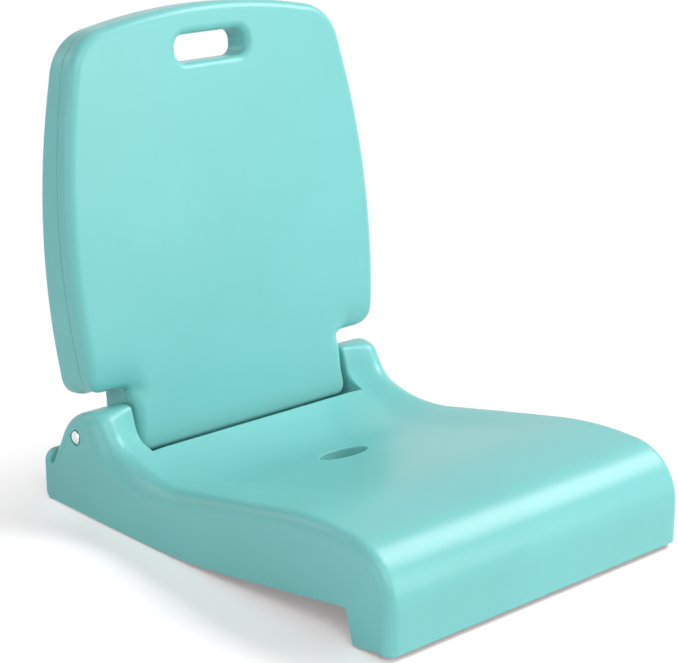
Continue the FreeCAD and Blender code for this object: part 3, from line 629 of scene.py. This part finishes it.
def tilted(x, y, z):
    """From the plane of the backrest seam to the seat's lengths: a turn by the lean."""
    return np.stack([x, FOOT + y * math.cos(LEAN) + z * math.sin(LEAN),
                     z * math.cos(LEAN) - y * math.sin(LEAN)], -1)


def wing_roll(p):
    """Forward face falling away above the wing bottoms, beside the proud neck.

    A quarter ellipse of height and depth, faded in across the wing and above its foot."""
    k = np.clip((160 - p[:, 1]) / 42, 0, 1)
    fall = 16 * (1 - np.sqrt(np.maximum(1 - k * k, 0)))
    return fall * smooth(np.abs(p[:, 0]), 112, 144) * smooth(p[:, 1], 98, 122)


def front_height(p, outline, slot):
    """Front face: flat, rolled at the outline and the slot, receding over the wings.

    The outline's roll is tighter at the foot of the neck, and adds to the wings' fall as
    the two sides of a right angle do."""
    edge = roll(distance(p, outline), np.interp(p[:, 1], [60, 84], [5.0, 10.0]))
    rim = roll(distance(p, slot), 8.0)
    fall = wing_roll(p)
    return FACE - np.minimum(np.hypot(edge, fall), 16.6) - rim


def rear_height(p, outline, slot, pocket):
    """Rear face: thick at the hips, thinner at the crown, with the finger pocket.

    A straight-line table of thickness against height, less a quarter round at the
    outline, blended by a soft step to the pocket's level floor."""
    base = np.interp(p[:, 1], [56, 76, 90, 104, 121, 464.5], [33, 37, 39, 38, 38.3, 21])
    edge = roll(distance(p, outline), 7.0)
    depth = distance(p, pocket) * np.where(inside(p, pocket), 1, -1)
    sunk = smooth(depth, -3.0, 4.0)
    return (base - edge) * (1 - sunk) + POCKET_DEPTH * sunk


def wells():
    """Screw positions on the backrest: across and up."""
    rows = [(128, 395), (158, 275), (150, 152), (60, 112)]
    return [np.array([s * x, z]) for x, z in rows for s in (-1, 1)]


def backrest_half(name, front):
    """One moulded half of the backrest, from its outer face to the seam groove.

    Its face is a relief over the outline. Walls run from the face's edge towards the
    seam, where a narrow lip steps in, and through the hand slot. The rear half also has
    turned screw wells and the two heel blocks that meet the buffers."""
    surf = Surface()
    outline, slot = shield_outline(), slot_outline(0)
    pocket = slot_outline(POCKET_GROWTH)
    sign = -1.0 if front else 1.0
    ring = circle(24)

    def height(p):
        if front:
            return front_height(p, outline, slot)
        return rear_height(p, outline, slot, pocket)

    def place(p, h):
        """Seam plane to seat; the wings' feet sag a little towards the rear."""
        sag = 0 if front else 4.5 * smooth(h, 6, 24) * smooth(-p[:, 1], -150, -121)
        return tilted(p[:, 0], sign * h, p[:, 1] - sag * smooth(np.abs(p[:, 0]), 130, 146))

    rings = (0.15, 0.5, 1.0, 1.7, 2.6, 3.7, 5.0, 6.5, 8.2, 10.0, 11.6)
    near_slot = [slot_outline(g) for g in (0.1, 0.4, 0.9, 1.6, 2.6, 3.8, 5.2, 6.6, 8.0)]
    holes = [slot]
    if not front:
        near_slot = [slot_outline(POCKET_GROWTH + g)
                     for g in (-4, -3, -2.2, -1.4, -0.6, 0.2, 1, 1.8, 2.5, 3.2)]
        holes += [c + ring * WELL_RADIUS for c in wells()]
    relief(surf, outline, height, 5.5, rings, holes, place, flip=not front, margin=4.5,
           hole_rings=near_slot)
    lips = ((0.0, 0.8), (0.12, 0.5), (0.4, 0.38), (2.6, 0.38), (3.5, 0.12))
    edge = height(outline)
    rows = [place(offset(outline, g), np.full(len(outline), h)) for g, h in lips]
    k = np.linspace(0, 1, 7)[:-1, None]
    walls = [place(outline, edge * (1 - q) + 0.8 * q) for q in k.ravel()]
    surf.grid(np.stack(walls + rows), wrap=True, flip=front)
    depth = 10.0 if front else POCKET_DEPTH
    rows = [place(slot, np.full(len(slot), depth * q)) for q in (1.0, 0.7, 0.4, 0.0)]
    surf.grid(np.stack(rows), wrap=True, flip=not front)
    if not front:
        for centre in wells():
            top = height(centre + ring * WELL_RADIUS)
            rows = [place(centre + ring * r, top * (1 - k) + WELL_FLOOR * k)
                    for r, k in ((WELL_RADIUS, 0.0), (WELL_RADIUS, 0.5), (WELL_RADIUS, 1.0),
                                 (2.2, 1.0))]
            surf.grid(np.stack(rows), wrap=True)
        for x in (-STOP_X, STOP_X):
            block = block_outline(x, 56.2, 76.2, 2)
            relief(surf, block, lambda p: 42 - roll(distance(p, block), 1.5), 8, (0.4, 1.5),
                   place=place, flip=True, margin=2.5)
            rows = [place(block, np.full(len(block), h)) for h in (40.5, 30.0, 18.0)]
            surf.grid(np.stack(rows), wrap=True)
    return surf.build(name)


def seat_surface(name, pan_depth):
    """The whole seat moulding, seen from above and from below."""
    surf = Surface()
    middle, side = seat_top(surf, pan_depth)
    recess_floor(surf, middle)
    seat_side(surf, side)
    rear_wall(surf)
    ledges(surf)
    underside(surf, middle, side)
    return surf.build(name)


# ---------------------------------------------------------- shader work
class Socket:
    """A shader value that can be added, multiplied and divided like a number."""

    def __init__(self, tree, source):
        self.tree, self.source = tree, source

    def math(self, operation, *others):
        """Math node on this value and others, which may be numbers."""
        node = self.tree.nodes.new("ShaderNodeMath")
        node.operation = operation
        for slot, value in zip(node.inputs, (self,) + others):
            if isinstance(value, Socket):
                self.tree.links.new(value.source, slot)
            else:
                slot.default_value = value
        return Socket(self.tree, node.outputs[0])

    def after(self, operation, other):
        """Math node with a number first and this value second."""
        node = self.tree.nodes.new("ShaderNodeMath")
        node.operation = operation
        node.inputs[0].default_value = other
        self.tree.links.new(self.source, node.inputs[1])
        return Socket(self.tree, node.outputs[0])

    def __add__(self, other):
        return self.math("ADD", other)

    __radd__ = __add__

    def __mul__(self, other):
        return self.math("MULTIPLY", other)

    __rmul__ = __mul__

    def __sub__(self, other):
        return self.math("SUBTRACT", other)

    def __rsub__(self, other):
        return self.after("SUBTRACT", other)

    def __truediv__(self, other):
        return self.math("DIVIDE", other)

    def __rtruediv__(self, other):
        return self.after("DIVIDE", other)

    def clipped(self, low=0.0, high=1.0):
        """The value held between low and high."""
        return self.math("MAXIMUM", low).math("MINIMUM", high)

    def ramp(self, low, high):
        """0 below low, 1 above high, straight between."""
        return ((self - low) / (high - low)).clipped()


class Shader:
    """Node tree of one material or world, with short ways to add nodes and set them."""

    def __init__(self, name, kind="materials"):
        self.owner = getattr(bpy.data, kind).new(name)
        self.owner.use_nodes = True
        self.tree = self.owner.node_tree
        self.tree.nodes.clear()
        self.where = self.add("ShaderNodeTexCoord").outputs["Object"]

    def add(self, kind, settings=None, inputs=None):
        """A node of a kind, its settings, and its inputs as values or links."""
        node = self.tree.nodes.new(kind)
        for key, value in (settings or {}).items():
            setattr(node, key, value)
        for key, value in (inputs or {}).items():
            source = getattr(value, "source", value)
            if isinstance(source, bpy.types.NodeSocket):
                self.tree.links.new(source, node.inputs[key])
            else:
                node.inputs[key].default_value = source
        return node

    def value(self, node, output=0):
        """A node's output as a Socket."""
        return Socket(self.tree, node.outputs[output])

    def noise(self, scale, detail=2.0, roughness=0.5, stretch=(1, 1, 1)):
        """Noise over the object's own coordinates, in cycles per metre."""
        place = self.add("ShaderNodeMapping", inputs={"Vector": self.where, "Scale": stretch})
        node = self.add("ShaderNodeTexNoise", inputs={
            "Vector": place.outputs[0], "Scale": scale, "Detail": detail,
            "Roughness": roughness})
        return self.value(node)

    def mix(self, factor, dark, light):
        """Colour from dark at factor 0 to light at 1."""
        node = self.add("ShaderNodeMix", {"data_type": "RGBA"},
                        {0: factor, 6: (*dark, 1.0), 7: (*light, 1.0)})
        return node.outputs[2]

    def bump(self, height, strength, distance):
        """Normal from a height; distance in metres."""
        node = self.add("ShaderNodeBump", inputs={
            "Height": height, "Strength": strength, "Distance": distance})
        return node.outputs[0]

    def finish(self, **inputs):
        """Principled surface from named inputs; underscores stand for spaces."""
        names = {key.replace("_", " "): value for key, value in inputs.items()}
        return self.close(self.add("ShaderNodeBsdfPrincipled", inputs=names))

    def close(self, last, kind="ShaderNodeOutputMaterial"):
        """Feed the output from the last shader and give back the material or world."""
        self.add(kind, inputs={"Surface": last.outputs[0]})
        return self.owner

    def seen(self):
        """1 for rays that show the surroundings: from the camera, off gloss, through glass."""
        path = self.add("ShaderNodeLightPath")
        camera, gloss, glass = (self.value(path, "Is %s Ray" % kind)
                                for kind in ("Camera", "Glossy", "Transmission"))
        return (camera + gloss + glass).clipped()

    def blend(self, factor, first, second):
        """Mix of two shaders: the first at factor 0, the second at 1."""
        return self.add("ShaderNodeMixShader", inputs={
            0: factor, 1: first.outputs[0], 2: second.outputs[0]})


def moulded_plastic(name, colour, roughness):
    """Satin injection-moulded plastic: faint flow clouds, fine spark texture, dull rubs.

    Colour goes from 0.975 to 1.02 of the base with the clouds. Roughness is the given
    one plus 5 parts in 100 of the rubs and 3 of the grain, each about their middle."""
    sh = Shader(name)
    cloud = sh.noise(7.0, 3.0)
    fine = sh.noise(2600.0, 1.0)
    rub = sh.noise(38.0, 4.0, 0.62)
    base = np.array(colour[:3])
    tint = sh.mix(cloud.ramp(0.35, 0.65), base * 0.975, np.minimum(base * 1.02, 1.0))
    rough = roughness + 0.05 * (rub - 0.5) + 0.03 * (fine - 0.5)
    grain = sh.bump(fine * 0.6 + sh.noise(900.0, 2.0) * 0.4, 0.09, 0.00008)
    return sh.finish(Base_Color=tint, Roughness=rough.clipped(0.05, 0.95), Normal=grain,
                     IOR=1.46, Specular_IOR_Level=0.3)


def bright_metal(name, colour, roughness, turned):
    """Plated or ground steel with fine marks running round or along the piece.

    The marks are noise stretched along one axis; haze dulls and darkens it a little."""
    sh = Shader(name)
    stretch = (900.0, 14.0, 14.0) if turned else (14.0, 900.0, 900.0)
    marks = sh.noise(1.0, 2.0, 0.5, stretch)
    haze = sh.noise(220.0, 3.0)
    tint = sh.mix(haze, np.array(colour) * 0.94, colour)
    rough = roughness + 0.06 * (marks - 0.5) + 0.04 * (haze - 0.5)
    return sh.finish(Base_Color=tint, Metallic=1.0, Roughness=rough.clipped(0.03, 0.9),
                     Normal=sh.bump(marks, 0.08, 0.00004))


def plain_polymer(name, colour, roughness, grain):
    """Acetal or rubber: matt, finely grained, slightly uneven in tone."""
    sh = Shader(name)
    cloud = sh.noise(60.0, 3.0)
    speck = sh.noise(grain, 2.0)
    base = np.array(colour)
    tint = sh.mix(cloud, base * 0.88, np.minimum(base * 1.1, 1.0))
    rough = roughness + 0.1 * (speck - 0.5)
    return sh.finish(Base_Color=tint, Roughness=rough.clipped(0.1, 1.0),
                     Normal=sh.bump(speck, 0.25, 0.0001))


def floor_paper():
    """White paper: dull under the seat, shown white further out, with the seat's shadow.

    Rays that light the seat meet plain pale paper. Rays that show it meet a white dull
    surface with a little glow, and past 0.38 to 0.6 from a place under the seat's shadow
    side, even white."""
    sh = Shader("floor_paper")
    tone = sh.mix(sh.noise(300.0, 2.0), (0.86, 0.86, 0.86), (0.88, 0.88, 0.88))
    paper = sh.add("ShaderNodeBsdfPrincipled", inputs={"Base Color": tone, "Roughness": 0.9})
    dull = sh.add("ShaderNodeBsdfDiffuse", inputs={"Color": (1, 1, 1, 1)})
    glow = sh.add("ShaderNodeEmission", inputs={"Color": (1, 0.87, 0.87, 1), "Strength": 0.23})
    near = sh.add("ShaderNodeAddShader", inputs={0: dull.outputs[0], 1: glow.outputs[0]})
    moved = sh.add("ShaderNodeMapping", inputs={"Vector": sh.where, "Location": (0.08, 0.22, 0)})
    reach = sh.value(sh.add("ShaderNodeVectorMath", {"operation": "LENGTH"},
                            {0: moved.outputs[0]}), 1)
    shown = sh.blend(reach.ramp(0.38, 0.6), near, sh.add("ShaderNodeEmission"))
    return sh.close(sh.blend(sh.seen(), paper, shown))


def surroundings(sky):
    """Even dim light on the object, shown as white behind it and in what shines."""
    sh = Shader("surroundings", "worlds")
    lit = sh.add("ShaderNodeBackground", inputs={"Color": (0.96, 0.98, 1, 1), "Strength": sky})
    white = sh.add("ShaderNodeBackground", inputs={"Color": (1, 1, 1, 1)})
    return sh.close(sh.blend(sh.seen(), lit, white), "ShaderNodeOutputWorld")


def dress(thing, material):
    """Give a piece its one material."""
    thing.data.materials.clear()
    thing.data.materials.append(material)
    return thing


# -------------------------------------------------------------- add-on
LAMPS = (              # name, place in metres, size in metres; the power is a setting
    ("key", (2.09, -0.97, 2.42), 1.6),
    ("fill", (-1.50, -2.15, 2.03), 1.8),
    ("side", (-3.17, 0.0, 0.75), 1.4),
    ("low", (1.52, -2.74, 0.87), 1.4),
    ("rear", (-1.39, 2.40, 1.80), 1.4),
)
LAMPS_AIM = Vector((0, 0, 0.2))
CAMERA_AT = Vector((-1180.66, -1049.64 - MID, 729.47)) / 1000
CAMERA_TURN, CAMERA_DIP = math.radians(42.0515), math.radians(17.275)
FLOOR_REACH = 9000.0


class SeatLooks(bpy.types.PropertyGroup):
    """What a user would change: the pan, the plastic, the lights and the lens"""

    pan_depth: FloatProperty(
        name="Pan Depth", default=0.005, min=0.0, max=0.02, unit="LENGTH",
        subtype="DISTANCE", description="How far the pan is sunk between the bolsters")
    plastic: FloatVectorProperty(
        name="Plastic", size=3, default=(0.19, 0.55, 0.535), min=0.0, max=1.0,
        subtype="COLOR", description="Base colour of the moulded shells")
    gloss: FloatProperty(
        name="Roughness", default=0.29, min=0.05, max=1.0, subtype="FACTOR",
        description="Roughness of the moulded shells")
    key_power: FloatProperty(
        name="Key Light", default=87.0, min=0.0, description="Power of the large right light")
    fill_power: FloatProperty(
        name="Fill Light", default=42.5, min=0.0, description="Power of the left front light")
    side_power: FloatProperty(
        name="Side Light", default=18.0, min=0.0, description="Power of the low left light")
    low_power: FloatProperty(
        name="Low Light", default=28.0, min=0.0, description="Power of the low front light")
    rear_power: FloatProperty(
        name="Rear Light", default=12.0, min=0.0, description="Power of the rear left light")
    sky: FloatProperty(
        name="Sky", default=0.1, min=0.0, description="Strength of the even light around")
    lens: FloatProperty(
        name="Lens", default=106.907, min=10.0, unit="CAMERA",
        description="Focal length for a 36 mm sensor")
    sides: IntProperty(
        name="Cap Sides", default=64, min=16, max=256,
        description="Segments round the finely turned pieces")


class SEAT_OT_moulding(bpy.types.Operator):
    """Make the seat moulding: deck, bolsters, lugs, hinge recess, rear wall and ribs"""

    bl_idname = "folding_seat.moulding"
    bl_label = "Seat Moulding"

    def execute(self, context):
        looks = context.scene.seat_looks
        seat = seat_surface("seat_moulding", looks.pan_depth * 1000)
        dress(seat, moulded_plastic("seat_plastic", looks.plastic, looks.gloss))
        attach(seat, "seat")
        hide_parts("seat_shell")
        return {"FINISHED"}


class SEAT_OT_backrest(bpy.types.Operator):
    """Make the two moulded halves of the backrest with their seam and hand slot"""

    bl_idname = "folding_seat.backrest"
    bl_label = "Backrest Shells"

    def execute(self, context):
        looks = context.scene.seat_looks
        material = moulded_plastic("backrest_plastic", looks.plastic, looks.gloss)
        for name, node, front in (("backrest_face", "backrest_front_shell", True),
                                  ("backrest_back", "backrest_rear_shell", False)):
            half = backrest_half(name, front)
            dress(half, material)
            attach(half, "backrest")
            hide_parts(node)
        return {"FINISHED"}


class SEAT_OT_hardware(bpy.types.Operator):
    """Finish the hinge pieces, screws, feet and buffers that keep their made shape"""

    bl_idname = "folding_seat.hardware"
    bl_label = "Hardware Finishes"

    def execute(self, context):
        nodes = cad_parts
        chrome = bright_metal("cap_chrome", (0.80, 0.81, 0.82), 0.12, False)
        steel = bright_metal("rod_steel", (0.56, 0.56, 0.57), 0.32, True)
        acetal = plain_polymer("bush_acetal", (0.80, 0.80, 0.76), 0.5, 1400.0)
        rubber = plain_polymer("foot_rubber", (0.075, 0.08, 0.083), 0.75, 900.0)
        for material, kinds in ((chrome, ("rod_cap",)), (steel, ("hinge_rod", "shell_screws")),
                                (acetal, ("bushing", "washer")),
                                (rubber, ("feet", "pads", "buffers"))):
            for name, thing in nodes.items():
                if any(kind in name for kind in kinds):
                    dress(thing, material)
        return {"FINISHED"}


class SEAT_OT_stage(bpy.types.Operator):
    """Set the floor, the even white surroundings, five soft lights and the camera"""

    bl_idname = "folding_seat.stage"
    bl_label = "Stage"

    def execute(self, context):
        looks = context.scene.seat_looks
        floor = Surface()
        k = np.linspace(-FLOOR_REACH, FLOOR_REACH, 7)
        x, y = np.meshgrid(k, k, indexing="ij")
        floor.grid(np.stack([x, y, 0 * x], -1), flip=True)
        stage = [dress(floor.build("floor"), floor_paper())]
        for name, at, size in LAMPS:
            lamp = bpy.data.lights.new(name, "AREA")
            lamp.energy, lamp.size = getattr(looks, name + "_power"), size
            holder = bpy.data.objects.new(name, lamp)
            holder.location = at
            holder.rotation_euler = (LAMPS_AIM - Vector(at)).to_track_quat("-Z", "Y").to_euler()
            context.scene.collection.objects.link(holder)
            stage.append(holder)
        context.scene.world = surroundings(looks.sky)
        context.scene.view_settings.view_transform = "Standard"
        turn, dip = CAMERA_TURN, CAMERA_DIP
        camera = bpy.data.objects.new("camera", bpy.data.cameras.new("camera"))
        camera.data.lens = looks.lens
        camera.data.clip_end = 60
        right = Vector((math.cos(turn), -math.sin(turn), 0))
        ahead = Vector((math.sin(turn) * math.cos(dip), math.cos(turn) * math.cos(dip),
                        -math.sin(dip)))
        basis = Matrix((right, right.cross(ahead), -ahead)).transposed().to_4x4()
        camera.matrix_world = Matrix.Translation(CAMERA_AT) @ basis
        context.scene.collection.objects.link(camera)
        context.scene.camera = camera
        return {"FINISHED"}


class SEAT_PT_panel(bpy.types.Panel):
    """Sidebar panel with the settings and the four steps"""

    bl_label = "Folding Seat"
    bl_idname = "SEAT_PT_panel"
    bl_space_type = "VIEW_3D"
    bl_region_type = "UI"
    bl_category = "Folding Seat"

    def draw(self, context):
        for name in SeatLooks.__annotations__:
            self.layout.prop(context.scene.seat_looks, name)
        for step in STEPS:
            self.layout.operator(step.bl_idname)


STEPS = (SEAT_OT_moulding, SEAT_OT_backrest, SEAT_OT_hardware, SEAT_OT_stage)
CLASSES = (SeatLooks,) + STEPS + (SEAT_PT_panel,)


def register():
    """Make the classes and the scene's settings known."""
    for each in CLASSES:
        bpy.utils.register_class(each)
    bpy.types.Scene.seat_looks = PointerProperty(type=SeatLooks)


def unregister():
    """Take the settings and the classes away again."""
    del bpy.types.Scene.seat_looks
    for each in reversed(CLASSES):
        bpy.utils.unregister_class(each)


def main():
    """Build everything in order."""
    register()
    bpy.ops.folding_seat.moulding()
    bpy.ops.folding_seat.backrest()
    bpy.ops.folding_seat.hardware()
    bpy.ops.folding_seat.stage()


if __name__ == "__main__":
    main()
